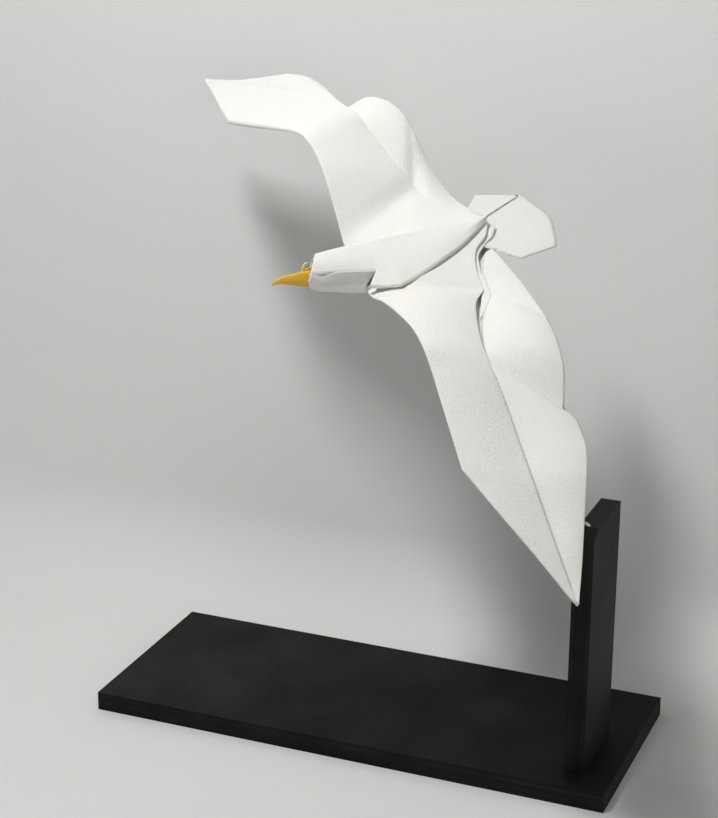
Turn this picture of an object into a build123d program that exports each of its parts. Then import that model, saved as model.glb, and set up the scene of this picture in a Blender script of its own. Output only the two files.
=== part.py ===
from build123d import *
import os

# Folded paper seagull on a display stand, in millimetres, +Z up.
# The origin is the centre of the stand's underside. +X runs along the base
# towards the post, +Y runs to the back.

# Stand: a long flat board with an upright board near one end
base_length = 300.0
base_width = 120.0
base_thickness = 10.8
post_thickness = 10.8
post_width = 50.2
post_height = 138.3
post_end_gap = 15.8         # from the post's outer face to the end of the base
post_back_gap = 54.2        # from the post's rear edge to the rear edge of the base
post_bevel_run = 8.5        # the worn front edge of the post's top
post_bevel_drop = 2.9

# Wire from the post to the seagull's belly. It stands in a hole in the post's
# top, leaves it along a groove towards the seagull, and then turns up.
wire_diameter = 2.0
wire_clearance = 0.15
wire_seat_depth = 14.0      # how far the wire goes down into the post
wire_set_back = 1.5         # from the start of the bevel to the wire
wire_lift = 0.5             # the wire's middle above the post's top, in the groove
wire_arm = 34.0             # length of the level run towards the seagull
wire_arm_rise = 3.0
wire_rise = 120.5           # from the post's top up to the belly
wire_reach = 100.0          # along the base, away from the post
wire_drift = 5.0            # sideways, to the back
wire_foot_bend = 2.6
wire_arm_bend = 18.0
wire_tip_depth = 4.0        # how far the wire goes into the belly

# How the seagull flies: its heading, nose and wings against the level
heading = 229.3
nose_down = 7.5
left_bank = 25.3
belly_forward = 20.0        # where the wire meets the belly, ahead of the middle

# Paper
paper = 0.6
layer_gap = 0.3
pleat_fold = 5.0            # how far the pleat runs under the front panel
tip_fold = 0.8

# Points of the seagull are (forward, left, up) from the middle of its back.
# Each row crosses a wing: leading edge, pleat edge, trailing edge, how far the
# front and rear panels bulge above straight lines between them, how far the
# three points swing forward on the left wing and back on the right one, and
# the left wing's open pleat: its width, how far its rear rim lies below the
# front one, and how far its inner fold sinks.
wing_rows = [
    ((50, 0, 8), (-18, 0, 21.6), (-19.5, 0, 21), (4.0, 0.0), (0.0, 0.0, 0.0), (0.5, 1.8, 0)),
    ((52, 6, 9), (-13, 8.3, 20.6), (-17, 9.5, 20.2), (5.0, 0.0), (0.7, 0.7, 0.5), (0.5, 1.8, 0)),
    ((54, 13, 10), (-5, 15.5, 19.8), (-15, 20, 19), (5.5, 0.3), (1.2, 1.2, 1.0), (1.5, 1.8, 1)),
    ((55, 15.5, 11.5), (0.5, 27, 18.8), (-14.5, 50, 20.5), (6.0, 0.6), (1.7, 1.7, 1.8), (4.5, 1.8, 2)),
    ((55, 17.5, 12), (3.5, 40, 17.5), (-12.5, 74, 24.5), (6.0, 1.0), (2.0, 2.0, 3.0), (5.5, 1.0, 2.5)),
    ((55, 32, 20), (9, 47, 20.5), (-10, 87, 28), (4.0, 3.5), (3.0, 4.5, 4.5), (6.5, 0.8, 3.5)),
    ((55.5, 50, 30), (14.5, 60, 23.5), (-7.5, 97.5, 28.3), (2.5, 5.0), (5.0, 7.0, 5.0), (4.0, 1.2, 3)),
    ((55, 64, 33), (19, 74, 26.5), (-3.2, 108, 24.4), (2.5, 4.5), (5.5, 8.5, 3.8), (2.0, 1.6, 2)),
    ((56.5, 78, 34), (23.5, 88.5, 29.5), (4, 124, 11.5), (2.5, 0.5), (6.0, 9.5, 3.5), (0.5, 1.8, 1)),
    ((57.5, 89, 29.5), (25.5, 100.5, 27.5), (5.5, 132.5, 13), (2.5, 1.5), (6.0, 9.5, 2.2), (0.5, 1.8, 0)),
    ((59.5, 101, 24), (26.5, 113.5, 22), (7, 141, 13.9), (2.5, 2.5), (5.5, 9.5, 2.2), (0.5, 1.8, 0)),
    ((63, 118, 16), (30, 132.5, 13.5), (10.8, 152, 13.4), (2.0, 3.0), (4.5, 8.0, 2.2), (0.5, 1.8, 0)),
    ((67.5, 136.5, 8), (35.5, 153.5, 6.5), (17, 163, 9.5), (1.5, 2.5), (3.0, 6.0, 2.0), (0.5, 1.8, 0)),
    ((62, 159, 1.5), (39.5, 175.5, -4), (27, 179, -1), (1.0, 1.5), (2.5, 4.5, 1.5), (0.5, 1.8, 0)),
    ((54.5, 183.5, -8), (43, 192.5, -11), (36.5, 195, -11), (0.5, 0.5), (2.0, 3.0, 1.5), (0.5, 1.8, 0)),
    ((48, 206, -17.3), (46.2, 209, -18.3), (45.2, 210.5, -18.9), (0.0, 0.0), (2.0, 2.0, 2.0), (0.5, 1.8, 0)),
]
closed_pleat = (0.5, 1.8, 0)    # the right wing's pleat, pressed shut
shoulder_row = 4
valley_row = 8
corner_row = 12
steps_between_rows = 2

swing_drop = 0.67           # how far a point drops for each step of its swing

# Rows across the folded body: forward, then (left, up) of the eave, of the bend
# and the lower edge of the wall below it, of the right side's foot and of the
# ridge, and the height of the keel
body_rows = [
    (85.5, (5.2, 23.4), (5.4, 18.6), (4.5, 13.0), (-3.4, 13.0), (-3.0, 22.0), 12.2),
    (78.0, (6.6, 22.9), (6.7, 14.0), (5.3, 9.2), (-4.6, 11.0), (-4.5, 25.5), 8.8),
    (66.0, (8.8, 21.8), (8.2, 12.0), (6.2, 5.4), (-6.2, 8.0), (-4.5, 25.6), 4.5),
    (54.0, (12.0, 21.4), (10.7, 11.2), (8.5, 3.4), (-7.4, 6.5), (-4.4, 25.2), -0.5),
    (49.0, (8.5, 22.4), (8.5, 11.0), (7.8, 1.8), (-8.0, 8.0), (-4.3, 24.9), -2.0),
    (36.0, (7.5, 22.4), (8.0, 11.0), (7.0, 0.5), (-9.0, 15.5), (-4.2, 24.4), -4.0),
    (20.0, (6.5, 22.2), (7.0, 11.5), (6.0, 1.5), (-9.0, 17.0), (-4.0, 23.9), -3.5),
    (2.0, (4.5, 22.4), (5.5, 14.0), (4.5, 7.0), (-7.5, 18.0), (-3.4, 23.6), 1.5),
    (-10.0, (2.5, 22.9), (3.8, 17.0), (3.5, 13.0), (-6.0, 19.0), (-2.6, 23.8), 8.5),
    (-18.5, (0.6, 23.5), (0.9, 22.0), (1.0, 20.5), (-3.2, 21.0), (-1.0, 24.3), 18.5),
]

# Sheet over neck and back: (forward, left, up) along its left edge, which stands
# off the wing, and then (left, up) of the ridge there
back_rows = [
    ((52.5, 12.7, 21.4), (-4.4, 25.2)),
    ((45.0, 25.8, 20.3), (-4.3, 24.9)),
    ((35.2, 23.3, 20.7), (-4.2, 24.7)),
    ((25.2, 20.5, 21.6), (-4.0, 24.3)),
    ((15.1, 16.8, 22.1), (-3.9, 24.1)),
    ((4.6, 12.6, 22.1), (-3.5, 23.9)),
    ((-7.1, 6.8, 23.3), (-2.7, 24.1)),
    ((-17.8, 0.8, 24.1), (-1.0, 24.6)),
]
throat = [(52.0, 12.7, 21.4), (57.9, 18.0, 17.4), (51.8, 22.0, 18.8), (45.0, 25.8, 20.3)]
throat_seat = 5.0           # how far the throat runs back under the sheet

# Beak: forward, left, half width, and heights of its upper and lower edges
beak_rows = [
    (82.0, 0.8, 3.1, 20.5, 10.7),
    (88.5, 0.5, 2.7, 21.0, 12.9),
    (92.6, 0.3, 2.2, 20.9, 14.5),
    (96.0, 0.1, 1.7, 20.8, 15.7),
    (99.2, 0.0, 1.2, 20.2, 16.8),
    (101.6, 0.0, 0.8, 19.2, 16.9),
    (103.2, 0.0, 0.3, 16.5, 15.8),
]

# Tail: a fan that falls away from the body
tail_start = -6.0
tail_height = 18.4          # height of the fan's top where it leaves the body
tail_fall = 8.0             # degrees below level
tail_fan = [
    (-6, -3), (-26, -10.5), (-51.5, -21.5), (-55.5, -20.5), (-59, -10.5), (-61, -3.5),
    (-59.5, 2.5), (-52.5, 18), (-50, 21.5), (-30, 25), (-26, 26), (-21.5, 21.5), (-6, 7),
]
tail_right_flap = [(-6, -6), (-19, -18), (-28, -27), (-53, -22.5), (-40, -12), (-6, 2)]
tail_left_flap = [(-6, 8), (-21.5, 24), (-31, 20), (-40, 14), (-6, -2)]

# Places that follow from the sizes above
post_outer_face = base_length / 2 - post_end_gap
post_rear = base_width / 2 - post_back_gap
post_front = post_rear - post_width
post_top = base_thickness + post_height
wire_foot = Vector(
    post_outer_face - post_thickness / 2,
    post_front + post_bevel_run + wire_set_back,
    post_top,
)
wire_knee = wire_foot + Vector(0, 0, wire_lift)
wire_elbow = wire_knee + Vector(-wire_arm, 0, wire_arm_rise)
wire_tip = wire_foot + Vector(-wire_reach, wire_drift, wire_rise)
wire_last_run = (wire_tip - wire_elbow).normalized()


def base_board():
    """The long board that rests on the table."""
    return Box(
        base_length, base_width, base_thickness,
        align=(Align.CENTER, Align.CENTER, Align.MIN),
    )


def post():
    """The upright board, with its worn top edge and the hole for the wire."""
    side = Polyline(
        (post_front, base_thickness),
        (post_rear, base_thickness),
        (post_rear, post_top),
        (post_front + post_bevel_run, post_top),
        (post_front, post_top - post_bevel_drop),
        close=True,
    )
    inner_face = Plane.YZ.offset(post_outer_face - post_thickness)
    board = extrude(inner_face * make_face(side), amount=post_thickness)
    return board - wire_rod(wire_clearance)


def wire_rod(clearance):
    """The bent wire, or with a clearance the hole and groove that it lies in."""
    path = FilletPolyline(
        wire_foot - Vector(0, 0, wire_seat_depth + clearance),
        wire_knee,
        wire_elbow,
        wire_tip + wire_last_run * (wire_tip_depth + clearance),
        radius=[wire_foot_bend, wire_arm_bend],
    )
    profile = Plane(origin=path @ 0, z_dir=path % 0) * Circle(wire_diameter / 2 + clearance)
    return sweep(profile, path=path)


def swung(point, swing):
    """A wing point swung forward and down, or back and up if swing is negative."""
    forward, left, up = point
    return Vector(forward + swing, left, up - swing * swing_drop)


def edge_points(points, creases):
    """Points along a wing edge: smooth between creases, bent at each crease."""
    stops = [0] + creases + [len(points) - 1]
    placed = []
    for first, last in zip(stops, stops[1:]):
        stretch = points[first:last + 1]
        edge = Spline(*stretch) if len(stretch) > 2 else Line(*stretch)
        marks = [edge.param_at_point(point) for point in stretch]
        for near, far in zip(marks, marks[1:]):
            for step in range(steps_between_rows):
                placed.append(edge @ (near + (far - near) * step / steps_between_rows))
    placed.append(points[-1])
    return placed


def between_rows(values):
    """Row values with evenly spaced ones between them."""
    filled = []
    for near, far in zip(values, values[1:]):
        for step in range(steps_between_rows):
            filled.append(near + (far - near) * step / steps_between_rows)
    filled.append(values[-1])
    return filled


def in_line(lead, pleat, trail):
    """The pleat point moved sideways, to lie in line between the other two."""
    across = Vector(trail.X - lead.X, trail.Y - lead.Y, 0).normalized()
    run = (pleat - lead).dot(across)
    return Vector(lead.X, lead.Y, pleat.Z) + across * run


def bulge(start, end, height, count=2):
    """Points between start and end that rise above the straight line."""
    places = [step / (count + 1) for step in range(1, count + 1)]
    return [
        start + (end - start) * place + Vector(0, 0, 4 * height * place * (1 - place))
        for place in places
    ]


def wing_section(lead, pleat, trail, front_bulge, rear_bulge, fold, opening):
    """The paper's outline across the wing: front panel, pleat and rear panel."""
    down = Vector(0, 0, -1)
    thick = down * paper
    chord = (pleat - lead).normalized()
    rearward = (trail - pleat).normalized()
    middle = down * (paper + layer_gap)
    lower = middle * 2
    width, drop, depth = opening
    sink = down * depth

    crease = pleat - chord * fold
    inner = crease + chord * paper
    rim = pleat + rearward * (width + paper) + down * drop

    front_top = [lead] + bulge(lead, crease, front_bulge) + [crease]
    rear_top = [rim] + bulge(rim, trail, rear_bulge) + [trail]
    outline = [
        front_top,
        [crease, pleat],
        [pleat, pleat + middle + thick],
        [pleat + middle + thick, inner + middle + thick + sink],
        [inner + middle + thick + sink, inner + lower + sink],
        [inner + lower + sink, pleat + lower + sink * 0.5],
        [pleat + lower + sink * 0.5, rim],
        rear_top,
        [trail, trail + thick],
        [point + thick for point in reversed(rear_top)],
        [rim + thick, pleat + lower + sink * 0.5 + thick],
        [pleat + lower + sink * 0.5 + thick, crease + lower + sink + thick],
        [crease + lower + sink + thick, crease + middle + sink],
        [crease + middle + sink, pleat - chord * paper + middle],
        [pleat - chord * paper + middle, pleat - chord * paper + thick],
        [pleat - chord * paper + thick, crease + thick],
        [point + thick for point in reversed(front_top)],
        [lead + thick, lead],
    ]
    return [Spline(*run) if len(run) > 2 else Line(*run) for run in outline]


def wing(side):
    """One wing as a single folded strip of paper; side is 1 left, -1 right."""
    last = len(wing_rows) - 1
    edges = []
    for column in range(3):
        points = [swung(row[column], side * row[4][column]) for row in wing_rows]
        creases = list(range(1, shoulder_row + 1))
        creases += [valley_row, corner_row] if column == 2 else [corner_row]
        edges.append(edge_points(points, creases))
    edges[1][-1] = in_line(edges[0][-1], edges[1][-1], edges[2][-1])

    fold = between_rows([tip_fold] + [pleat_fold] * (last - 1) + [tip_fold])
    fold[1] = fold[2] * 0.5
    openings = [Vector(row[5] if side > 0 else closed_pleat) for row in wing_rows]
    opening = between_rows(openings)
    front = between_rows([row[3][0] for row in wing_rows])
    rear = between_rows([row[3][1] for row in wing_rows])

    sections = []
    for place, (lead, pleat, trail) in enumerate(zip(*edges)):
        sections.append(wing_section(
            lead, pleat, trail, front[place], rear[place], fold[place], opening[place],
        ))
    faces = [Face(Wire(sections[0])), Face(Wire(sections[-1]))]
    for near, far in zip(sections, sections[1:]):
        faces += [Face.make_surface_from_curves(a, b) for a, b in zip(near, far)]
    strip = Solid(Shell(faces))
    return strip if side > 0 else mirror(strip, about=Plane.XZ)


def body():
    """Head, neck and belly: the layers folded together along the middle."""
    sections = []
    for forward, eave, bend, low, foot, ridge, keel in body_rows:
        corners = [eave, bend, low, (0, keel), foot, ridge]
        outline = Polyline(*[(forward, left, up) for left, up in corners], close=True)
        sections.append(make_face(outline))
    return loft(sections, ruled=True)


def back():
    """The sheet over neck and back, whose left edge stands off the wing."""
    sections = []
    for (forward, left, up), (ridge_left, ridge_up) in back_rows:
        outline = Polyline(
            (forward, left, up), (forward, ridge_left, ridge_up),
            (forward, ridge_left, ridge_up - paper), (forward, left, up - paper),
            close=True,
        )
        sections.append(make_face(outline))
    return loft(sections, ruled=True)


def throat_flap():
    """The corner of the neck that is folded down ahead of the left wing."""
    front, tip, rear, edge = [Vector(*point) for point in throat]
    seat = Vector(-throat_seat, -throat_seat, 0)
    pieces = []
    for corners in ((front, tip, edge), (tip, rear, edge), (front, edge, edge + seat)):
        sheet = make_face(Polyline(*corners, close=True))
        pieces.append(extrude(sheet, amount=paper, dir=(0, 0, -1)))
    return pieces


def beak():
    """The beak, pinched to a ridge above and below and bent down at its tip."""
    sections = []
    for forward, left, half, top, bottom in beak_rows:
        middle = (top + bottom) / 2
        outline = Polyline(
            (forward, left, top), (forward, left + half, middle),
            (forward, left, bottom), (forward, left - half, middle),
            close=True,
        )
        sections.append(make_face(outline))
    return loft(sections, ruled=True)


def tail_sheet(outline, layer):
    """One flat layer of the tail, counted down from the top one."""
    points = [(forward - tail_start, left) for forward, left in outline]
    level = -layer * (paper + layer_gap)
    sheet = extrude(make_face(Polyline(*points, close=True)), amount=-paper)
    fall = Rot(0, -tail_fall, 0)
    return Pos(tail_start, 0, tail_height) * fall * Pos(0, 0, level) * sheet


def tail():
    """The fan of the tail over its two side flaps."""
    return [tail_sheet(tail_fan, 0), tail_sheet(tail_right_flap, 1), tail_sheet(tail_left_flap, 1)]


def seagull():
    """The whole bird in its own frame, folded from one sheet."""
    bird = body() + wing(1) + wing(-1)
    return bird + back() + throat_flap() + beak() + tail()


def belly_height():
    """Height of the keel where the wire meets it, between two body rows."""
    for (front, *_, front_keel), (rear, *_, rear_keel) in zip(body_rows, body_rows[1:]):
        if rear <= belly_forward <= front:
            share = (front - belly_forward) / (front - rear)
            return front_keel + (rear_keel - front_keel) * share


def flying(bird):
    """The bird turned to its heading and set down on the wire."""
    attitude = Rot(0, 0, heading) * Rot(0, nose_down, 0) * Rot(-left_bank, 0, 0)
    belly = Pos(belly_forward, 0, belly_height())
    return Pos(*wire_tip) * attitude * belly.inverse() * bird


def make_parts():
    """Every separate piece, by name."""
    return {
        "seagull": flying(seagull()) - wire_rod(wire_clearance),
        "support_wire": wire_rod(0),
        "post": post(),
        "base_board": base_board(),
    }


if __name__ == "__main__":
    os.makedirs("parts", exist_ok=True)
    for name, piece in make_parts().items():
        export_step(piece, f"parts/{name}.step")
        print(name, len(piece.solids()), piece.is_valid, round(piece.volume, 1))
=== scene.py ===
import bpy, bmesh
from math import cos, sin, pi, radians
from mathutils import Matrix, Vector, noise


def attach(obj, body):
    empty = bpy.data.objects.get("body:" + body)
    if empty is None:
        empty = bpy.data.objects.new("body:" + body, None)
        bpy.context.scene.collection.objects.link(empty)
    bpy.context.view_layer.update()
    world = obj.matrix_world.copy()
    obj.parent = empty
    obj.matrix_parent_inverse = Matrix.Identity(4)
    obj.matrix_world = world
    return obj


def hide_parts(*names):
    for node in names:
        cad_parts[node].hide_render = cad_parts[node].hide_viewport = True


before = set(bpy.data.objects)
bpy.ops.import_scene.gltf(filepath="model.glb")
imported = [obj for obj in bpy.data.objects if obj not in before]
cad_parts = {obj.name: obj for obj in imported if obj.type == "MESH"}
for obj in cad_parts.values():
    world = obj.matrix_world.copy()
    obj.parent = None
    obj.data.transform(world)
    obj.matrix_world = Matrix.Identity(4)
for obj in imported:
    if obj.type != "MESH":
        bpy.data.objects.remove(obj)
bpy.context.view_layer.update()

scene = bpy.context.scene
mm = 0.001

# Folded paper seagull on a black board stand. Lengths of the bird are in mm, in its own
# frame: forward, left, up from the middle of its back. flightPlace turns it to the CAD's.

flight = {
    "wireTip": (28.8, -29.4, 269.6),  # where the wire meets the belly
    "belly": (20.0, 0.0, -3.5),  # the same place in the bird's frame
    "heading": 229.3,
    "noseDown": 7.5,
    "leftBank": 25.3,
}

paper = {
    "thick": 0.5,
    "fold": 0.45,  # radius of a pressed fold
    "hem": 9.0,  # how far the leading edges are folded under
    "wave": 0.35,  # how far a panel wanders from its true curve
    "waveSize": 34.0,
}


def flightPlace():
    turn = Matrix.Rotation(radians(flight["heading"]), 4, "Z")
    turn = turn @ Matrix.Rotation(radians(flight["noseDown"]), 4, "Y")
    turn = turn @ Matrix.Rotation(radians(-flight["leftBank"]), 4, "X")
    tip = Matrix.Translation(Vector(flight["wireTip"]) * mm)
    belly = Matrix.Translation(-Vector(flight["belly"]) * mm)
    return tip @ turn @ belly @ Matrix.Scale(mm, 4)


# helpers for the paper sheets

up = Vector((0, 0, 1))


def threadPoints(points, steps, folds=()):  # smooth through the points, but bent at folds
    points = [Vector(p) for p in points]
    last = len(points) - 1
    gaps = [max((b - a).length, 1e-6) for a, b in zip(points, points[1:])]
    slopes = [(b - a) / gap for a, b, gap in zip(points, points[1:], gaps)]

    def tangent(i, side):  # side is the stretch that asks, before or after the point
        if i in (0, last) or i in folds:
            return slopes[max(0, min(side, last - 1))]
        g0, g1 = gaps[i - 1], gaps[i]
        return (slopes[i - 1] * g1 + slopes[i] * g0) / (g0 + g1)

    line = []
    for i in range(last):
        a, b, gap = points[i], points[i + 1], gaps[i]
        ta, tb = tangent(i, i) * gap, tangent(i + 1, i) * gap
        for k in range(steps):
            t = k / steps
            line.append(
                a * (2 * t**3 - 3 * t**2 + 1) + ta * (t**3 - 2 * t**2 + t)
                + b * (3 * t**2 - 2 * t**3) + tb * (t**3 - t**2)
            )
    line.append(points[last])
    return line


def between(values, steps):  # plain values along the same steps
    line = []
    for a, b in zip(values, values[1:]):
        line += [a + (b - a) * k / steps for k in range(steps)]
    return line + [values[-1]]


def roundFold(edge, away, radius, top, count=5):
    # the half turn of a folded edge, whose outermost line is edge; top says whether it
    # starts above
    centre = edge - away * radius - up * radius
    turn = [pi * k / count for k in range(count + 1)]
    arc = [centre + away * radius * sin(a) + up * radius * cos(a) for a in turn]
    return arc if top else arc[::-1]


def wander(point, amount):  # the slight unevenness of hand-folded paper
    size = paper["waveSize"]
    return point + up * amount * noise.noise(point / size)


def gridMesh(name, sections):  # one quad sheet through sections with equal counts
    made = bmesh.new()
    rows = [[made.verts.new(p) for p in section] for section in sections]
    for near, far in zip(rows, rows[1:]):
        for i in range(len(near) - 1):
            made.faces.new((near[i], near[i + 1], far[i + 1], far[i]))
    mesh = bpy.data.meshes.new(name)
    made.to_mesh(mesh)
    made.free()
    return mesh


def joinMeshes(name, meshes):
    made = bmesh.new()
    for mesh in meshes:
        made.from_mesh(mesh)
        bpy.data.meshes.remove(mesh)
    bmesh.ops.recalc_face_normals(made, faces=made.faces)
    mesh = bpy.data.meshes.new(name)
    made.to_mesh(mesh)
    made.free()
    return mesh


def addPiece(name, mesh, material, nodes=(), sharpAngle=35, thick=0.0, place=None):
    if place:
        mesh.transform(place)
    piece = bpy.data.objects.new(name, mesh)
    scene.collection.objects.link(piece)
    mesh.materials.append(material)
    if thick:
        skin = piece.modifiers.new("thickness", "SOLIDIFY")
        skin.thickness = thick * mm
        skin.offset = 0
    mesh.shade_smooth()
    mesh.set_sharp_from_angle(angle=radians(sharpAngle))
    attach(piece, "root")
    if nodes:
        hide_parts(*nodes)
    return piece


# materials

def newMaterial(name):
    material = bpy.data.materials.new(name)
    material.use_nodes = True
    tree = material.node_tree
    return material, tree, tree.nodes["Principled BSDF"]


def addNode(tree, kind, **settings):
    node = tree.nodes.new(kind)
    for key, value in settings.items():
        if key in node.inputs:
            node.inputs[key].default_value = value
        else:
            setattr(node, key, value)
    return node


def rampNode(tree, source, stops):
    ramp = tree.nodes.new("ShaderNodeValToRGB")
    ramp.color_ramp.elements[0].position, ramp.color_ramp.elements[0].color = stops[0]
    ramp.color_ramp.elements[1].position, ramp.color_ramp.elements[1].color = stops[-1]
    for position, colour in stops[1:-1]:
        ramp.color_ramp.elements.new(position).color = colour
    tree.links.new(source, ramp.inputs["Fac"])
    return ramp


paperLook = {
    "white": (0.885, 0.88, 0.855, 1),
    "cream": (0.875, 0.862, 0.815, 1),
    "grainSize": 1.2,  # mm across one bump of the paper's tooth
    "grainDepth": 0.4,
    "fibreSize": 0.35,
    "fibreDepth": 0.04,
    "cloudSize": 28.0,  # mm across a slightly creamier patch
    "roughness": 0.9,
    "specular": 0.25,
}


def makePaper():
    material, tree, shader = newMaterial("watercolour_paper")
    place = addNode(tree, "ShaderNodeTexCoord").outputs["Object"]
    tooth = addNode(tree, "ShaderNodeTexNoise", Scale=1 / (paperLook["grainSize"] * mm),
                    Detail=2.0, Roughness=0.55)
    fibre = addNode(tree, "ShaderNodeTexNoise", Scale=1 / (paperLook["fibreSize"] * mm), Detail=3.0)
    cloud = addNode(tree, "ShaderNodeTexNoise", Scale=1 / (paperLook["cloudSize"] * mm), Detail=3.0)
    for texture in (tooth, fibre, cloud):
        tree.links.new(place, texture.inputs["Vector"])
    ramp = rampNode(tree, cloud.outputs["Fac"],
                    [(0.35, paperLook["cream"]), (0.65, paperLook["white"])])
    tree.links.new(ramp.outputs["Color"], shader.inputs["Base Color"])
    fine = addNode(tree, "ShaderNodeBump", Strength=1.0, Distance=paperLook["fibreDepth"] * mm)
    coarse = addNode(tree, "ShaderNodeBump", Strength=1.0, Distance=paperLook["grainDepth"] * mm)
    tree.links.new(fibre.outputs["Fac"], fine.inputs["Height"])
    tree.links.new(tooth.outputs["Fac"], coarse.inputs["Height"])
    tree.links.new(fine.outputs["Normal"], coarse.inputs["Normal"])
    tree.links.new(coarse.outputs["Normal"], shader.inputs["Normal"])
    shader.inputs["Roughness"].default_value = paperLook["roughness"]
    shader.inputs["Specular IOR Level"].default_value = paperLook["specular"]
    return material


beakLook = {
    "deep": (0.88, 0.47, 0.035, 1),
    "bright": (0.94, 0.57, 0.05, 1),
    "blotchSize": 4.0,  # mm
    "roughness": 0.55,
}


def makeBeakPaint():
    material, tree, shader = newMaterial("beak_paint")
    place = addNode(tree, "ShaderNodeTexCoord").outputs["Object"]
    blotch = addNode(tree, "ShaderNodeTexNoise", Scale=1 / (beakLook["blotchSize"] * mm), Detail=3.0)
    tree.links.new(place, blotch.inputs["Vector"])
    ramp = rampNode(tree, blotch.outputs["Fac"], [(0.3, beakLook["deep"]), (0.6, beakLook["bright"])])
    tree.links.new(ramp.outputs["Color"], shader.inputs["Base Color"])
    shader.inputs["Roughness"].default_value = beakLook["roughness"]
    return material


boardLook = {
    "black": (0.003, 0.003, 0.0034, 1),
    "worn": (0.016, 0.016, 0.015, 1),
    "roughness": (0.5, 0.66),
    "specular": 0.12,
    "fleck": 0.5,  # mm across a fleck of the black paper that covers the boards
    "fleckDepth": 0.05,
    "cloud": 40.0,
    "baseLayers": (8, 8, 700),  # how closely the board's layers lie along x, y and z
    "postLayers": (700, 8, 8),
}


def greyStops(low, high):  # a plain value that varies between two others
    return [(0.3, (low, low, low, 1)), (0.7, (high, high, high, 1))]


def makeBoard(name, layerScale):
    material, tree, shader = newMaterial(name)
    place = addNode(tree, "ShaderNodeTexCoord").outputs["Object"]
    fleck = addNode(tree, "ShaderNodeTexNoise", Scale=1 / (boardLook["fleck"] * mm), Detail=4.0)
    cloud = addNode(tree, "ShaderNodeTexNoise", Scale=1 / (boardLook["cloud"] * mm), Detail=4.0)
    layers = addNode(tree, "ShaderNodeTexNoise", Scale=1.0, Detail=3.0)
    stretch = addNode(tree, "ShaderNodeMapping", Scale=layerScale)
    tree.links.new(place, stretch.inputs["Vector"])
    tree.links.new(stretch.outputs["Vector"], layers.inputs["Vector"])
    for texture in (fleck, cloud):
        tree.links.new(place, texture.inputs["Vector"])
    wear = addNode(tree, "ShaderNodeMath", operation="MULTIPLY")
    tree.links.new(cloud.outputs["Fac"], wear.inputs[0])
    tree.links.new(layers.outputs["Fac"], wear.inputs[1])
    ramp = rampNode(tree, wear.outputs["Value"],
                    [(0.18, boardLook["black"]), (0.45, boardLook["worn"])])
    tree.links.new(ramp.outputs["Color"], shader.inputs["Base Color"])
    rough = rampNode(tree, fleck.outputs["Fac"], greyStops(*boardLook["roughness"]))
    tree.links.new(rough.outputs["Color"], shader.inputs["Roughness"])
    bump = addNode(tree, "ShaderNodeBump", Strength=0.6, Distance=boardLook["fleckDepth"] * mm)
    tree.links.new(fleck.outputs["Fac"], bump.inputs["Height"])
    tree.links.new(bump.outputs["Normal"], shader.inputs["Normal"])
    shader.inputs["Specular IOR Level"].default_value = boardLook["specular"]
    return material


wireLook = {
    "steel": (0.55, 0.55, 0.56, 1),
    "roughness": (0.25, 0.42),
    "drawnSize": 1.2,  # mm
}


def makeWire():
    material, tree, shader = newMaterial("drawn_wire")
    place = addNode(tree, "ShaderNodeTexCoord").outputs["Object"]
    drawn = addNode(tree, "ShaderNodeTexNoise", Scale=1 / (wireLook["drawnSize"] * mm), Detail=3.0)
    tree.links.new(place, drawn.inputs["Vector"])
    rough = rampNode(tree, drawn.outputs["Fac"], greyStops(*wireLook["roughness"]))
    tree.links.new(rough.outputs["Color"], shader.inputs["Roughness"])
    shader.inputs["Base Color"].default_value = wireLook["steel"]
    shader.inputs["Metallic"].default_value = 1.0
    return material


paperMaterial = makePaper()
beakMaterial = makeBeakPaint()
baseMaterial = makeBoard("black_base_board", boardLook["baseLayers"])
postMaterial = makeBoard("black_post_board", boardLook["postLayers"])
wireMaterial = makeWire()
print("materials done")

# wings: rows from the body to the tip, each with its leading, pleat and trailing point, how
# far the front and rear panels bulge, and on the left wing the open pleat: its width, how
# far its rear rim lies below the front one, and its depth

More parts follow.
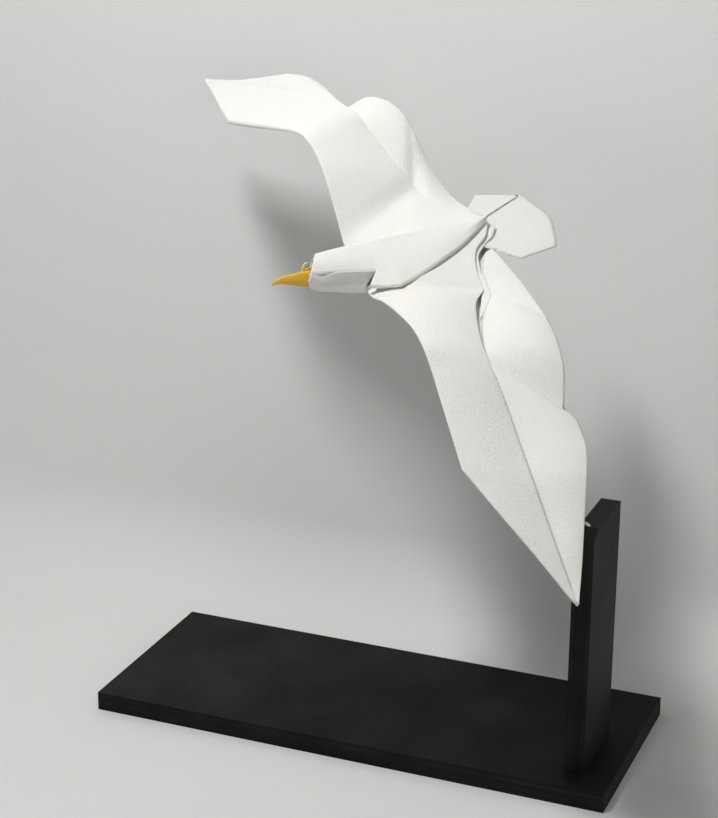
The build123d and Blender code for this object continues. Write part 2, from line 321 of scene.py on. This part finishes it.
wingShape = {
    "leftRows": [
        ((50, 0, 9), (-19, 0.5, 21.6), (-16, 2, 14.5), (3.7, 0.0), (1.0, 6.0, 7.0)),
        ((52.7, 6, 9), (-13.3, 8.3, 20.5), (-14.5, 9, 15.2), (3.7, 0.0), (4.0, 5.0, 7.0)),
        ((55.2, 13, 9.7), (-4.3, 15, 19.2), (-14, 19, 16.8), (3.7, 0.3), (5.3, 2.2, 5.0)),
        ((56.7, 15.5, 10.4), (2.2, 27, 17.7), (-12.7, 50, 19.3), (3.7, 0.6), (5.3, 1.7, 4.0)),
        ((56.9, 17.5, 10.7), (5.4, 40.4, 16), (-9.4, 73.7, 22.1), (4.5, 1.0), (5.5, 1.0, 4.0)),
        ((58, 31.7, 18.2), (13.5, 47.1, 17.3), (-5.4, 86.8, 24.8), (3.2, 3.2), (7.0, 0.8, 5.0)),
        ((60.4, 50.5, 26.9), (21.3, 60.1, 18.8), (-2.6, 97, 24.8), (2.5, 4.8), (4.0, 1.2, 5.0)),
        ((60.6, 64.3, 29.6), (27.5, 74.3, 20.6), (0.7, 108, 21.7), (2.5, 4.6), (2.4, 1.6, 4.0)),
        ((62.5, 78.5, 30.3), (32.7, 88.7, 23), (7.6, 123.7, 9.1), (2.5, 0.4), (1.5, 0.9, 2.4)),
        ((63.3, 89, 25.6), (34.7, 100.4, 21), (7.2, 132.4, 11.6), (2.5, 1.6), (1.5, 0.9, 2.4)),
        ((65.1, 101.3, 20.3), (35.8, 113.6, 15.6), (9.2, 141, 12.4), (2.5, 2.6), (1.5, 0.9, 2.4)),
        ((67.5, 117.9, 13.5), (38.2, 132.5, 8.1), (13, 152, 11.9), (2.0, 3.0), (1.5, 0.9, 2.4)),
        ((70.5, 136.7, 6.5), (41.7, 153.6, 2.4), (19, 163, 8.2), (1.5, 2.5), (1.5, 0.9, 2.4)),
        ((64.4, 158.9, -0.2), (44.2, 175.7, -6.9), (28.6, 179.2, -1.8), (1.0, 1.5), (1.5, 0.9, 2.4)),
        ((56.6, 183.5, -9.2), (46.5, 192.7, -12.8), (37.8, 195.1, -12), (0.5, 0.5), (1.5, 0.9, 2.4)),
        ((48.7, 208.4, -19.5), (47.7, 209.6, -19.8), (47.3, 210.2, -20), (0.0, 0.0), (0.3, 0.9, 1.6)),
    ],
    "rightRows": [  # outwards counts as left here too; the last value is the hem's radius
        ((50, 0, 9), (-17, 1, 22.5), (-22.1, 8.9, 17.5), (2.5, 0.0), 0.45),
        ((51.3, 6, 10), (-14.7, 8.3, 21.5), (-17.4, 16.2, 18.0), (2.0, 0.0), 0.45),
        ((52.8, 13, 11.3), (-6.7, 15, 20.8), (-16.9, 28, 14.8), (1.5, 0.3), 0.45),
        ((53.3, 15.5, 12.6), (-1.2, 27, 19.9), (-16.5, 54, 17.0), (1.5, 0.6), 0.45),
        ((53.1, 17.5, 13), (1.2, 40.4, 19), (-15.4, 73.7, 26.7), (2.5, 1.0), 0.45),
        ((51.9, 31.6, 22.1), (4.1, 47.1, 23.9), (-14.7, 86.7, 30.8), (2.0, 2.0), 0.45),
        ((50.3, 50.5, 33.4), (7.7, 60, 28.3), (-12.2, 96.5, 31.3), (1.2, 2.0), 0.45),
        ((48.9, 64.2, 37.2), (10.7, 74.1, 32.4), (-7.7, 108, 27.9), (0.8, 1.5), 0.45),
        ((49.4, 78.4, 38.7), (13.2, 88.4, 36.4), (-2.5, 123.6, 10.8), (0.6, 0.4), 0.45),
        ((49.7, 88.9, 34.4), (14.4, 100.1, 34.1), (2.9, 132.3, 14.4), (0.6, 1.6), 0.6),
        ((52.5, 101.2, 28.2), (14.7, 113.3, 29), (4.4, 141, 15.6), (0.6, 2.0), 1.2),
        ((57.5, 117.8, 19.8), (19.4, 132.2, 20), (7.7, 151, 15.3), (0.6, 2.2), 1.6),
        ((63.5, 136.6, 10.7), (27.2, 153.4, 10.9), (14.2, 163.2, 11), (0.6, 2.0), 1.4),
        ((58.2, 158.9, 3.6), (32.5, 175.6, -0.3), (24.1, 179.1, -0.4), (0.6, 1.2), 0.45),
        ((51, 183.4, -5.8), (38.3, 192.7, -8.7), (33.7, 195.1, -10.6), (0.5, 0.5), 0.45),
        ((44, 208.6, -16.8), (43, 209.6, -17), (42.6, 210.2, -17.2), (0.0, 0.0), 0.45),
    ],
    "shoulder": 4,  # rows with a crease across the wing
    "valley": 8,
    "corner": 12,
    "steps": 8,  # sections from one row to the next
    "across": 26,  # points across one panel
    "turnSteps": 6,  # points along the hem
    "tuckSteps": 5,  # and along the paper under the pleat
    "pleatRoom": 1.8,  # depth of a pleat whose layers lie flat on each other
    "tipWidth": 0.3,  # hem and tuck at the tip, against 1 elsewhere
    "grooveFoot": 0.75,  # where the open pleat is deepest, as a share of its width
    "tuck": 5.0,  # how far the pleat runs under the front panel
    "shut": (1.0, 2.6, 2.2),  # the right wing's pleat, pressed shut
    "rootShut": (0.3, 0.4, 1.0),  # the same beside the body
    # a crease runs from each wing's shoulder to the body: where it crosses the first front
    # panels, how steep it is, and how far their highest part lies towards the leading edge
    "leftRoot": ((0.05, 0.05, 0.05, 0.25), 0.05, 0.9),
    "rightRoot": ((0.4, 0.49, 0.63, 0.8), 0.16, 0.5),
}


def panelPoint(start, end, height, t, skew=0.0):
    return start.lerp(end, t) + up * 4 * height * t * (1 - t) * (1 + skew * (1 - 2 * t))


def wingSection(lead, pleat, trail, bulges, opening, width, crease, slope, skew, hemRadius):
    r = paper["fold"]
    gap, drop, depth = opening
    count, turns, tucks = (wingShape[key] for key in ("across", "turnSteps", "tuckSteps"))
    length = max((pleat - lead).length, 1)
    chord = (pleat - lead).normalized()
    hem = min(paper["hem"] / length, 0.8) * width
    tuck = min(wingShape["tuck"] / length, 0.8) * width
    inset = r / length
    curl = min(hemRadius / length, hem)
    peak = slope * (1 - crease) * (pleat - lead).length
    sink = depth - wingShape["pleatRoom"]

    def front(t, layer):
        ridge = peak * (t / crease if t < crease else (1 - t) / max(1 - crease, 1e-6))
        return panelPoint(lead, pleat, bulges[0], t, skew) + up * (ridge - 2 * r * layer)

    section = []
    for k in range(turns):  # the hem, from its free edge to the leading edge
        t = curl + (hem - curl) * (1 - k / turns)
        section.append(front(t, 1) - up * 2 * (hemRadius - r) * k / turns)
    section += roundFold(lead, -chord, hemRadius, False)
    section += [front(curl + (1 - inset - curl) * k / count, 0) for k in range(1, count)]
    section += roundFold(pleat, chord, r, True)
    for k in range(1, tucks + 1):  # back under the front panel
        section.append(front(1 - inset - (tuck - inset) * k / tucks, 1) - up * sink * k / tucks)
    inner = front(1 - tuck, 1) - up * sink
    section += [inner - chord * r - up * r, inner - up * 2 * r]

    rearward = (trail - pleat).normalized()
    rim = pleat + rearward * gap - up * drop
    foot = pleat + rearward * gap * wingShape["grooveFoot"] - up * max(depth, drop)
    section += threadPoints([inner - up * 2 * r, foot, rim], turns)[1:]
    section += [panelPoint(rim, trail, bulges[1], k / count) for k in range(1, count + 1)]
    return section


def wingMesh(name, left):
    rows, steps = wingShape["leftRows" if left else "rightRows"], wingShape["steps"]
    shoulder, valley, corner = wingShape["shoulder"], wingShape["valley"], wingShape["corner"]
    creases, slope, lean = wingShape["leftRoot" if left else "rightRoot"]
    outer = len(rows) - len(creases)
    lines = []
    for column in range(3):
        folds = [corner] + ([valley] if column == 2 else [])
        if column == 2 or (left and column):
            folds.append(shoulder)
        lines.append(threadPoints([row[column] for row in rows], steps, folds))
    bends = [shoulder, valley] if left else [valley]
    bulges = threadPoints([(*row[3], 0) for row in rows], steps, bends)
    if left:
        openings, hems = [row[4] for row in rows], [paper["fold"]] * len(rows)
    else:
        hems = [row[4] for row in rows]
        openings = [wingShape["rootShut"]] * len(creases) + [wingShape["shut"]] * outer
    openings, hems = threadPoints(openings, steps, [shoulder, valley]), between(hems, steps)
    width = between([1.0] * (len(rows) - 1) + [wingShape["tipWidth"]], steps)
    crease = between([*creases] + [1.0] * outer, steps)
    skew = between([lean] * (len(creases) + 1) + [0.0] * (outer - 1), steps)
    sections = []
    for i, (lead, pleat, trail) in enumerate(zip(*lines)):
        section = wingSection(lead, pleat, trail, bulges[i], openings[i], width[i], crease[i],
                              slope, skew[i], hems[i])
        sections.append([wander(p, paper["wave"]) for p in section])
    if not left:
        sections = [[Vector((p.x, -p.y, p.z)) for p in section] for section in sections]
    return gridMesh(name, sections)


# the layer that shows between the left wing's front and rear panels, by the body

innerPleat = {
    "rows": [  # under the front panel, and its open edge
        ((-17, -2.5, 19.0), (-23.4, 0.9, 19.4)), ((-12, 5.2, 17.6), (-18.8, 7.0, 18.5)),
        ((-5, 10.5, 17.2), (-10.8, 12.2, 17.8)), ((0.5, 16, 16.6), (-4.8, 17.1, 17.1)),
        ((4, 23.5, 15.6), (-1.4, 24.5, 16.1)), ((6.5, 33.5, 14.4), (1.6, 35.5, 14.5)),
        ((6.8, 40.5, 14.6), (4.2, 44.8, 15.0)), ((11.5, 48.5, 14.6), (10.2, 51.0, 14.6)),
        ((17, 57.2, 14.8), (17.1, 57.6, 14.7)),
    ],
    "return": 2.5,  # how far it is folded back under itself
    "wave": 0.4,  # its unevenness against a panel's
}


def innerPleatMesh(name):
    steps, across, r = 8, 5, paper["fold"]
    inner = threadPoints([a for a, _ in innerPleat["rows"]], steps)
    outer = threadPoints([b for _, b in innerPleat["rows"]], steps)
    sections = []
    for a, b in zip(inner, outer):
        width = (b - a).length
        away = (b - a).normalized()
        back = min(innerPleat["return"], width * 0.8)
        radius = min(r, width * 0.3)
        section = [a.lerp(b - away * radius, k / across) for k in range(across)]
        section += roundFold(b, away, radius, True)
        section += [b - away * (radius + back * k / 3) - up * 2 * radius for k in range(1, 4)]
        sections.append([wander(p, paper["wave"] * innerPleat["wave"]) for p in section])
    return gridMesh(name, sections)


# body: neck and back are one sheet laid over the wings, wide on the left and folded down
# steeply on the right, with a wall below its left eave

bodyShape = {
    "roof": [  # the left edge, the ridge, and the foot of the right side
        ((85.1, 5.3, 23.6), (77.9, -4.5, 25.5), (83, -4.2, 13)),
        ((78.8, 6.5, 22.9), (72.9, -4.5, 25.6), (76, -5, 10)),
        ((72.1, 7.5, 22.4), (66.7, -4.5, 25.6), (68, -6, 8)),
        ((62.9, 9.5, 21.6), (57.8, -4.4, 25.4), (58, -7, 6.5)),
        ((52.0, 12.7, 21.4), (47.6, -4.3, 25.0), (48, -8, 8)),
        ((45.0, 25.8, 20.3), (40, -4.2, 24.8), (40, -9, 15.5)),
        ((35.2, 23.3, 20.7), (31, -4.1, 24.5), (31, -9, 17)),
        ((25.2, 20.5, 21.6), (21.8, -4, 24.1), (21.8, -9, 17.5)),
        ((15.1, 16.8, 22.1), (11, -3.7, 24), (11, -8.5, 18)),
        ((4.6, 12.6, 22.1), (1, -3.3, 23.8), (1, -7.5, 18.5)),
        ((-7.1, 6.8, 23.3), (-9, -2.6, 24.1), (-9, -6, 19.5)),
        ((-17.8, 0.8, 24.1), (-18.5, -1, 24.6), (-18.5, -3.5, 21.5)),
    ],
    "bend": [4, 5],  # rows where the left edge turns a corner
    "crown": 0.9,  # how far the sheet bellies out between its edge and the ridge
    "edgeFold": 2.5,  # how far its left edge is folded under
    "edgeRadius": 1.1,  # that fold isn't pressed flat
    "crownPlaces": (0.3, 0.62, 0.86),
    "footPlace": 0.3,
    "wave": 0.5,  # unevenness against a panel's
    "wall": [  # below the eave: how far its top edge dips, its bend, and its lower edge
        (0.1, (86.8, 6.6, 19.8), (84.3, 4.5, 12.6)), (1.7, (80.7, 8.6, 16.3), (78.5, 5.2, 9.3)),
        (0.2, (73.7, 9.3, 14.3), (70.5, 5.7, 6.8)), (0.0, (65.2, 10.4, 13.9), (61.5, 6.6, 3.8)),
        (0.0, (56.4, 12.5, 13.3), (54.1, 8.5, 3.4)),
    ],
    "throatInside": (0.3, -1.6, -3.2),  # from its lower edge to the paper behind it
    "throat": [(52.0, 12.7, 21.4), (57.9, 18.0, 17.4), (51.8, 22.0, 18.8), (45.0, 25.8, 20.3)],
    "belly": [  # forward, half width, height of its widest part and of its keel
        (84, 3.0, 14.0, 12.5), (64, 5.8, 6.0, 3.5), (50, 7.2, 1.8, -1.5), (36, 7.0, 0.5, -4.0),
        (20, 6.0, 1.5, -3.5), (2, 4.5, 7.0, 1.5), (-10, 3.5, 13.0, 8.5), (-18, 1.0, 21.0, 18.5),
    ],
    "bellySides": (9, 20),  # how far its sides go up inside the body, and where they end
    "rightFace": [  # upper and lower edge of the layer that stands past the right side of the head
        ((85.2, -3.0, 21.4), (86.0, -3.0, 15.0)), ((83.6, -3.2, 22.6), (84.5, -3.4, 12.0)),
        ((81.4, -3.6, 22.0), (78.0, -4.2, 10.5)),
    ],
}


def roofMesh(name):
    steps, across, r = 8, 8, bodyShape["edgeRadius"]
    left, ridge, foot = (threadPoints([row[i] for row in bodyShape["roof"]], steps,
                                      bodyShape["bend"] if i == 0 else ()) for i in range(3))
    sections = []
    for low, top, end in zip(left, ridge, foot):
        width = (top - low).length
        away = (low - top).normalized()
        back = min(bodyShape["edgeFold"], width * 0.4)
        middle = [panelPoint(low, top, bodyShape["crown"], t) for t in bodyShape["crownPlaces"]]
        line = [low - away * (r + back * (1 - k / 3)) - up * 2 * r for k in range(3)]
        line += roundFold(low, away, r, False)
        side = [top - up * 0.1, top.lerp(end, bodyShape["footPlace"]), end]
        line += threadPoints([line[-1], *middle, *side], across)[1:]
        sections.append([wander(p, paper["wave"] * bodyShape["wave"]) for p in line])
    return gridMesh(name, sections)


def wallMesh(name):  # the side of the head, below the eave
    steps = 8
    dips = between([row[0] for row in bodyShape["wall"]], steps)
    upper = threadPoints([row[0] for row in bodyShape["roof"][:5]], steps)
    bend = threadPoints([row[1] for row in bodyShape["wall"]], steps)
    lower = threadPoints([row[2] for row in bodyShape["wall"]], steps)
    sections = []
    for dip, top, middle, low in zip(dips, upper, bend, lower):
        start = top - up * (dip + paper["fold"]) + Vector((0, 0.1, 0))
        bow = start.lerp(middle, 0.5) + Vector((0, 0.25, 0))
        line = threadPoints([start, bow, middle, low], 6, [2])
        sections.append([wander(p, paper["wave"]) for p in line])
    return gridMesh(name, sections)


def throatMesh(name):  # the corner of the neck behind the wall
    a, b, c, d = (Vector(p) for p in bodyShape["throat"])
    sections = []
    for k in range(13):
        top, low = a.lerp(d, k / 12), b.lerp(c, k / 6) if k < 6 else c.lerp(d, k / 6 - 1)
        inside = low + Vector(bodyShape["throatInside"])
        line = [top.lerp(low, j / 8) for j in range(9)]
        sections.append(line + [low.lerp(inside, j / 4) for j in range(1, 5)])
    return gridMesh(name, sections)


def rightFaceMesh(name):
    top = threadPoints([a for a, _ in bodyShape["rightFace"]], 6)
    low = threadPoints([b for _, b in bodyShape["rightFace"]], 6)
    return gridMesh(name, [[a.lerp(b, k / 8) for k in range(9)] for a, b in zip(top, low)])


def bellyMesh(name):  # the folded layers under the neck and between the wings
    steps, rows = 6, bodyShape["belly"]
    rise, top = bodyShape["bellySides"]
    side = threadPoints([(f, l, u) for f, l, u, _ in rows], steps)
    keel = threadPoints([(f, 0, k) for f, _, _, k in rows], steps)
    sections = []
    for a, b in zip(side, keel):
        inner = Vector((a.x, a.y * 0.8, min(a.z + rise, top)))
        mirrored = [Vector((p.x, -p.y, p.z)) for p in (a, inner)]
        sections.append(threadPoints([inner, a, b, *mirrored], 5, [2]))
    return gridMesh(name, sections)


# tail: a fan between two flaps, the right one on top of it and the left one under it, each
# from the line where it leaves the body to its outer edge

tailShape = {
    "fan": [
        (-25.2, -15.9), (-40.6, -21.9), (-52.7, -22.2), (-54.9, -21.2), (-56.4, -18.3), (-58.5, -10.4),
        (-60.8, -3.5), (-59.3, 2.6), (-52.3, 18.3), (-49.9, 21.3), (-30, 24.8), (-26.1, 26),
        (-21.4, 21.2), (-13.4, 13.7),
    ],
    "fanRoot": [(-6, -3), (-6, 7)],
    "rightFlap": [(-17.7, -16.5), (-27.3, -25.9), (-51.8, -21.1), (-23.8, -9.6)],
    "rightRoot": [(-6, -6), (-6, 2)],
    "leftFlap": [(-16.5, 17.5), (-20.5, 21.6), (-31, 20), (-40, 14)],
    "leftRoot": [(-6, 8), (-6, -2)],
    "start": (-6, 18.4),  # where the fan leaves the body, and its height there
    "fall": 0.14,
    "layer": 1.0,  # from the middle of one sheet to the next
    "onTop": -0.9,
    "below": 1,
    "wave": 0.3,
    "crease": [(-24, 6.4), (-50, 19)],
    "creaseBend": 0.05,
}


def tailHeight(forward, left, layer):
    start, top = tailShape["start"]
    height = top + (forward - start) * tailShape["fall"] - layer * tailShape["layer"]
    if layer == 0:
        (f0, l0), (f1, l1) = tailShape["crease"]
        across = (left - l0) * (f0 - f1) + (forward - f0) * (l1 - l0)
        across /= ((f1 - f0) ** 2 + (l1 - l0) ** 2) ** 0.5
        height -= max(across, 0) * tailShape["creaseBend"]
    return height


def tailSheet(name, root, outer, layer):
    steps, across = 8, 18
    corners = list(range(len(outer)))
    edge = threadPoints([(f, l, 0) for f, l in outer], steps, corners)
    a, b = (Vector((f, l, 0)) for f, l in root)
    sections = []
    for i, tip in enumerate(edge):
        base = a.lerp(b, i / (len(edge) - 1))
        line = [base.lerp(tip, k / across) for k in range(across + 1)]
        line = [Vector((p.x, p.y, tailHeight(p.x, p.y, layer))) for p in line]
        sections.append([wander(p, tailShape["wave"]) for p in line])
    return gridMesh(name, sections)


beakShape = {
    "rows": [  # forward, left, half width, upper and lower edge
        (80.0, 0.8, 3.2, 20.4, 10.2), (83.5, 0.8, 3.1, 20.6, 11.1), (88.5, 0.5, 2.7, 21.0, 12.9),
        (92.6, 0.3, 2.2, 20.9, 14.5), (96.0, 0.1, 1.7, 20.8, 15.7), (99.2, 0.0, 1.2, 20.2, 16.8),
        (101.6, 0.0, 0.8, 19.2, 16.9), (102.7, 0.0, 0.45, 17.9, 16.4), (103.2, 0.0, 0.15, 16.3, 15.8),
    ],
    "mouth": 0.55,  # depth of the line between its upper and lower half
    "mouthEnd": 96.0,
    "mouthRun": 8.0,  # how gently it fades out
    "mouthPlace": (0.25, 0.22),  # how far below the middle it lies, and its width
    "taper": 0.45,  # how much narrower it is above than below
}


def beakMesh(name):
    steps, around = 6, 28
    rows, (place, wide) = beakShape["rows"], beakShape["mouthPlace"]
    top = threadPoints([(f, l, t) for f, l, _, t, _ in rows], steps)
    low = threadPoints([(f, l, b) for f, l, _, _, b in rows], steps)
    half = between([row[2] for row in rows], steps)
    sections = []
    for a, b, w in zip(top, low, half):
        middle, tall = (a + b) / 2, (a.z - b.z) / 2
        fade = (beakShape["mouthEnd"] - a.x) / beakShape["mouthRun"]
        depth = beakShape["mouth"] * max(0, min(1, fade))
        ring = []
        for k in range(around + 1):
            turn = 2 * pi * k / around
            line = depth * max(0, 1 - abs(cos(turn) + place) / wide)
            side = (w - line) * sin(turn) * (1 - beakShape["taper"] * cos(turn))
            ring.append(middle + Vector((0, side, tall * cos(turn))))
        sections.append(ring)
    return gridMesh(name, sections)


place = flightPlace()
meshes = [wingMesh("leftWing", True), wingMesh("rightWing", False), innerPleatMesh("innerPleat")]
meshes += [roofMesh("roof"), bellyMesh("belly"), wallMesh("wall"), throatMesh("throat")]
meshes += [rightFaceMesh("rightFace")]
meshes += [tailSheet("tailFan", tailShape["fanRoot"], tailShape["fan"], 0)]
meshes += [tailSheet("tailRight", tailShape["rightRoot"], tailShape["rightFlap"], tailShape["onTop"])]
meshes += [tailSheet("tailLeft", tailShape["leftRoot"], tailShape["leftFlap"], tailShape["below"])]
bird = addPiece("seagull_paper", joinMeshes("seagull_paper", meshes), paperMaterial,
                nodes=["seagull"], sharpAngle=30, thick=paper["thick"], place=place)
beak = addPiece("seagull_beak", beakMesh("beak"), beakMaterial, nodes=["seagull"],
                sharpAngle=60, place=place)
print("seagull done")

# stand

standLook = {"base_board": baseMaterial, "post": postMaterial, "support_wire": wireMaterial}
for node, material in standLook.items():
    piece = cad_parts[node]
    for i in range(len(piece.material_slots)):
        piece.material_slots[i].material = material
print("stand done")

# studio

studio = {
    "floor": (0.8, 0.8, 0.785),
    "sweepStart": 0.066,  # where the floor begins to rise
    "sweepRadius": 0.06,
    "sweepFront": -2.6,
    "sweepHalf": 3.2,  # half its width, and its height
    "sweepSteps": 24,
    "aim": (0.0, 0.0, 0.25),
    "lamps": {  # place, size of the softbox, power
        "high_softbox": ((-0.126, -0.457, 1.071), 0.16, 6.4),
        "left_softbox": ((-1.2, -0.6, 0.7), 0.6, 1.7),
        "front_softbox": ((0.7, -1.1, 0.4), 0.5, 1.6),
    },
    "world": 0.07,  # as a light
    "worldSeen": 0.55,
    "glow": 0.45,  # of the far floor, only to look at
    "glowFrom": (0.8, 2.2),  # distances from the stand's middle, in metres
}


def makeSweep():
    start, radius, half = (studio[key] for key in ("sweepStart", "sweepRadius", "sweepHalf"))
    profile = [(studio["sweepFront"], 0.0), (start, 0.0)]
    for k in range(1, studio["sweepSteps"] + 1):
        turn = pi / 2 * k / studio["sweepSteps"]
        profile.append((start + radius * sin(turn), radius * (1 - cos(turn))))
    profile.append((start + radius, half))
    sections = [[Vector((x, y, z)) for y, z in profile] for x in (half, -half)]
    mesh = gridMesh("studio_sweep", sections)
    mesh.shade_smooth()
    material, tree, shader = newMaterial("pale_sweep")
    shader.inputs["Base Color"].default_value = (*studio["floor"], 1)
    shader.inputs["Roughness"].default_value = 0.85
    shader.inputs["Specular IOR Level"].default_value = 0.2
    shader.inputs["Emission Color"].default_value = (*studio["floor"], 1)
    # far from the stand, where the lamps no longer reach, it is still pale to look at
    place = addNode(tree, "ShaderNodeTexCoord").outputs["Object"]
    reach = addNode(tree, "ShaderNodeVectorMath", operation="LENGTH")
    near, far = studio["glowFrom"]
    glow = addNode(tree, "ShaderNodeMapRange", interpolation_type="SMOOTHSTEP")
    glow.inputs["From Min"].default_value = near
    glow.inputs["From Max"].default_value = far
    glow.inputs["To Max"].default_value = studio["glow"]
    rays = addNode(tree, "ShaderNodeLightPath")
    seen = addNode(tree, "ShaderNodeMath", operation="MULTIPLY")
    tree.links.new(place, reach.inputs[0])
    tree.links.new(reach.outputs["Value"], glow.inputs["Value"])
    tree.links.new(glow.outputs["Result"], seen.inputs[0])
    tree.links.new(rays.outputs["Is Camera Ray"], seen.inputs[1])
    tree.links.new(seen.outputs["Value"], shader.inputs["Emission Strength"])
    # paper backdrop with one side only, so the back of the bird can be looked at
    faces = addNode(tree, "ShaderNodeNewGeometry")
    clear = addNode(tree, "ShaderNodeBsdfTransparent")
    oneSide = addNode(tree, "ShaderNodeMixShader")
    tree.links.new(faces.outputs["Backfacing"], oneSide.inputs["Fac"])
    tree.links.new(shader.outputs["BSDF"], oneSide.inputs[1])
    tree.links.new(clear.outputs["BSDF"], oneSide.inputs[2])
    tree.links.new(oneSide.outputs["Shader"], tree.nodes["Material Output"].inputs["Surface"])
    mesh.materials.append(material)
    sweep = bpy.data.objects.new("studio_sweep", mesh)
    scene.collection.objects.link(sweep)


def addLamp(name, place, target, size, power):
    lamp = bpy.data.lights.new(name, "AREA")
    lamp.shape = "RECTANGLE"
    lamp.size = lamp.size_y = size
    lamp.energy = power
    holder = bpy.data.objects.new(name, lamp)
    holder.location = place
    holder.rotation_mode = "QUATERNION"
    holder.rotation_quaternion = (Vector(target) - Vector(place)).to_track_quat("-Z", "Y")
    scene.collection.objects.link(holder)


makeSweep()
for name, (spot, size, power) in studio["lamps"].items():
    addLamp(name, spot, studio["aim"], size, power)
world = bpy.data.worlds.new("soft_room")
world.use_nodes = True
tree = world.node_tree
sky = tree.nodes["Background"]
sky.inputs["Color"].default_value = (1, 1, 1, 1)
rays = addNode(tree, "ShaderNodeLightPath")
looks = [rays.outputs[kind] for kind in ("Is Camera Ray", "Is Glossy Ray", "Is Transmission Ray")]
for look in looks[1:]:
    either = addNode(tree, "ShaderNodeMath", operation="MAXIMUM")
    tree.links.new(looks[0], either.inputs[0])
    tree.links.new(look, either.inputs[1])
    looks[0] = either.outputs["Value"]
strength = addNode(tree, "ShaderNodeMapRange")
strength.inputs["To Min"].default_value = studio["world"]
strength.inputs["To Max"].default_value = studio["worldSeen"]
tree.links.new(looks[0], strength.inputs["Value"])
tree.links.new(strength.outputs["Result"], sky.inputs["Strength"])
scene.world = world

# camera at the photograph's place

view = {
    "place": (0.3798, -0.9677, 0.5404),
    "azimuth": 22.13,
    "elevation": 18.92,
    "roll": 0.4,
    "lens": 88.6,
}
lens = bpy.data.cameras.new("camera")
lens.lens = view["lens"]
lens.sensor_width = 36
lens.clip_start, lens.clip_end = 0.05, 20
camera = bpy.data.objects.new("camera", lens)
az, el = radians(view["azimuth"]), radians(view["elevation"])
back = Vector((sin(az) * cos(el), -cos(az) * cos(el), sin(el)))
camera.rotation_mode = "QUATERNION"
camera.rotation_quaternion = (
    Matrix.Rotation(radians(view["roll"]), 3, back).to_quaternion() @ (-back).to_track_quat("-Z", "Y")
)
camera.location = view["place"]
scene.collection.objects.link(camera)
scene.camera = camera
scene.view_settings.view_transform = "Standard"
print("studio done")
